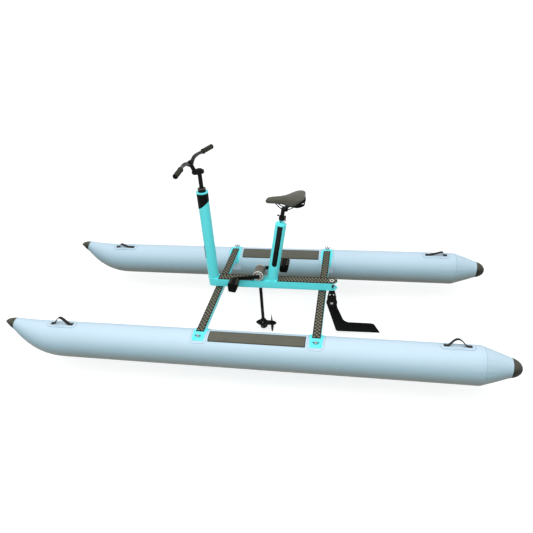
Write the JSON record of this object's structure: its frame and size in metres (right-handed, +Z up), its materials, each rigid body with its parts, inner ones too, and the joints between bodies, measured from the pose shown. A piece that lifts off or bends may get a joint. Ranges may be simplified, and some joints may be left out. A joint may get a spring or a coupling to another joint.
{
  "type": "inflatable water bike",
  "caption": "Pedal-driven catamaran: inflated floats joined by a frame with handlebar, saddle, cranks, propeller and rudder.",
  "frame": {"origin": "on the loaded waterline, which runs through the float axes, midway between the floats and between the crossbars", "axes": "+X towards the bow, +Y towards port, +Z up"},
  "size_m": [3.401, 1.3666, 1.3985],
  "materials": {
    "float_pvc": "satin",
    "patch_pvc": "satin",
    "cap_rubber": "matte",
    "foam": "matte",
    "webbing": "matte",
    "frame_paint": "gloss",
    "ribbed_grip": "matte",
    "black_alloy": "satin",
    "bright_steel": "satin",
    "grey_alloy": "satin",
    "black_plastic": "satin",
    "grip_rubber": "matte",
    "saddle_cover": "satin",
    "pale_bush": "satin"
  },
  "bodies": {
    "hull": {"bow_cap_port": "cap_rubber", "bow_cap_starboard": "cap_rubber", "bow_handle_port": "webbing", "bow_handle_starboard": "webbing", "deck_pad_port": "foam", "deck_pad_starboard": "foam", "drive_leg": "black_alloy", "float_port": "float_pvc", "float_starboard": "float_pvc", "front_crossbar": "frame_paint", "front_crossbar_bolt": "bright_steel", "front_crossbar_grip": "ribbed_grip", "front_deck_grip": "ribbed_grip", "gear_housing": "grey_alloy", "head_tube": "frame_paint", "lower_steering_bearing": "grey_alloy", "main_beam": "frame_paint", "rear_crossbar": "frame_paint", "rear_crossbar_bolt": "bright_steel", "rear_crossbar_grip": "ribbed_grip", "rear_deck_grip": "ribbed_grip", "rudder_bush": "pale_bush", "seat_clamp": "black_alloy", "seat_tube": "frame_paint", "steering_cable": "bright_steel", "stern_cap_port": "cap_rubber", "stern_cap_starboard": "cap_rubber", "stern_handle_port": "webbing", "stern_handle_starboard": "webbing", "stud_patch_front_port": "patch_pvc", "stud_patch_front_starboard": "patch_pvc", "stud_patch_rear_port": "patch_pvc", "stud_patch_rear_starboard": "patch_pvc", "upper_steering_bearing": "black_alloy", "valve_port": "black_plastic", "valve_starboard": "black_plastic"},
    "steering": {"steering_column": "black_alloy", "stem_body": "black_alloy"},
    "handlebar": {"stem_arm": "black_alloy", "handlebar": "black_alloy", "grip_port": "grip_rubber", "grip_starboard": "grip_rubber"},
    "cranks": {"crank_spindle": "bright_steel", "crank_port": "black_alloy", "crank_starboard": "black_alloy"},
    "pedal_port": {"pedal_port": "black_plastic"},
    "pedal_starboard": {"pedal_starboard": "black_plastic"},
    "drive_shaft": {"drive_shaft": "bright_steel"},
    "propeller": {"propeller": "black_plastic"},
    "rudder": {"rudder_post": "black_alloy", "rudder_bolt": "bright_steel"},
    "rudder_blade": {"rudder_blade": "black_plastic"},
    "seat_post": {"seat_post": "black_alloy"},
    "saddle": {"saddle_rails": "black_alloy", "saddle": "saddle_cover"},
    "seat_clamp_lever": {"seat_clamp_lever": "bright_steel"},
    "wing_nut_front_port": {"wing_nut_front_port": "bright_steel"},
    "wing_nut_front_starboard": {"wing_nut_front_starboard": "bright_steel"},
    "wing_nut_rear_port": {"wing_nut_rear_port": "bright_steel"},
    "wing_nut_rear_starboard": {"wing_nut_rear_starboard": "bright_steel"}
  },
  "joints": [
    {"name": "steering_turn", "type": "hinge", "parent": "hull", "child": "steering", "pos_m": [0.422, 0, 0.9], "axis": [0, 0, 1], "range_deg": [-32.8, 47.2]},
    {"name": "stem_tilt", "type": "hinge", "parent": "steering", "child": "handlebar", "pos_m": [0.45325, -0.00395, 1.0135], "axis": [0.1253, 0.9921, 0], "range_deg": [-10, 58]},
    {"name": "crank_turn", "type": "hinge", "parent": "hull", "child": "cranks", "pos_m": [0.0745, 0, 0.2505], "axis": [0, 1, 0], "continuous": true},
    {"name": "pedal_port_turn", "type": "hinge", "parent": "cranks", "child": "pedal_port", "pos_m": [0.24323, 0.11, 0.22978], "axis": [0, 1, 0], "continuous": true},
    {"name": "pedal_starboard_turn", "type": "hinge", "parent": "cranks", "child": "pedal_starboard", "pos_m": [-0.09423, -0.11, 0.27122], "axis": [0, 1, 0], "continuous": true},
    {"name": "drive_shaft_turn", "type": "hinge", "parent": "hull", "child": "drive_shaft", "pos_m": [0.0745, 0, 0], "axis": [0, 0, 1], "continuous": true},
    {"name": "propeller_turn", "type": "hinge", "parent": "hull", "child": "propeller", "pos_m": [0, 0, -0.204], "axis": [1, 0, 0], "continuous": true},
    {"name": "rudder_yaw", "type": "hinge", "parent": "hull", "child": "rudder", "pos_m": [-0.448, 0, 0.1], "axis": [0, 0, 1], "range_deg": [-47.2, 32.8]},
    {"name": "rudder_kick", "type": "hinge", "parent": "rudder", "child": "rudder_blade", "pos_m": [-0.448, 0, 0.0155], "axis": [0, 1, 0], "range_deg": [0, 95]},
    {"name": "seat_slide", "type": "slide", "parent": "hull", "child": "seat_post", "axis": [-0.1857, 0, 0.9826], "range_m": [-0.04, 0.12]},
    {"name": "saddle_tilt", "type": "hinge", "parent": "seat_post", "child": "saddle", "pos_m": [-0.14373, 0, 0.7629], "axis": [0, 1, 0], "range_deg": [-8, 8]},
    {"name": "seat_lever_turn", "type": "hinge", "parent": "hull", "child": "seat_clamp_lever", "pos_m": [-0.12962, -0.0278, 0.68822], "axis": [0, 1, 0], "range_deg": [0, 120]},
    {"name": "wing_nut_front_port_turn", "type": "hinge", "parent": "hull", "child": "wing_nut_front_port", "pos_m": [0.38, 0.59383, 0.12496], "axis": [0, 0.2756, 0.9613], "continuous": true},
    {"name": "wing_nut_front_starboard_turn", "type": "hinge", "parent": "hull", "child": "wing_nut_front_starboard", "pos_m": [0.38, -0.59383, 0.12496], "axis": [0, -0.2756, 0.9613], "continuous": true},
    {"name": "wing_nut_rear_port_turn", "type": "hinge", "parent": "hull", "child": "wing_nut_rear_port", "pos_m": [-0.38, 0.59383, 0.12496], "axis": [0, 0.2756, 0.9613], "continuous": true},
    {"name": "wing_nut_rear_starboard_turn", "type": "hinge", "parent": "hull", "child": "wing_nut_rear_starboard", "pos_m": [-0.38, -0.59383, 0.12496], "axis": [0, -0.2756, 0.9613], "continuous": true}
  ],
  "couplings": [
    {"joint": "rudder_yaw", "follows": "steering_turn", "ratio": -1},
    {"joint": "drive_shaft_turn", "follows": "crank_turn", "ratio": 4},
    {"joint": "propeller_turn", "follows": "crank_turn", "ratio": 8}
  ]
}
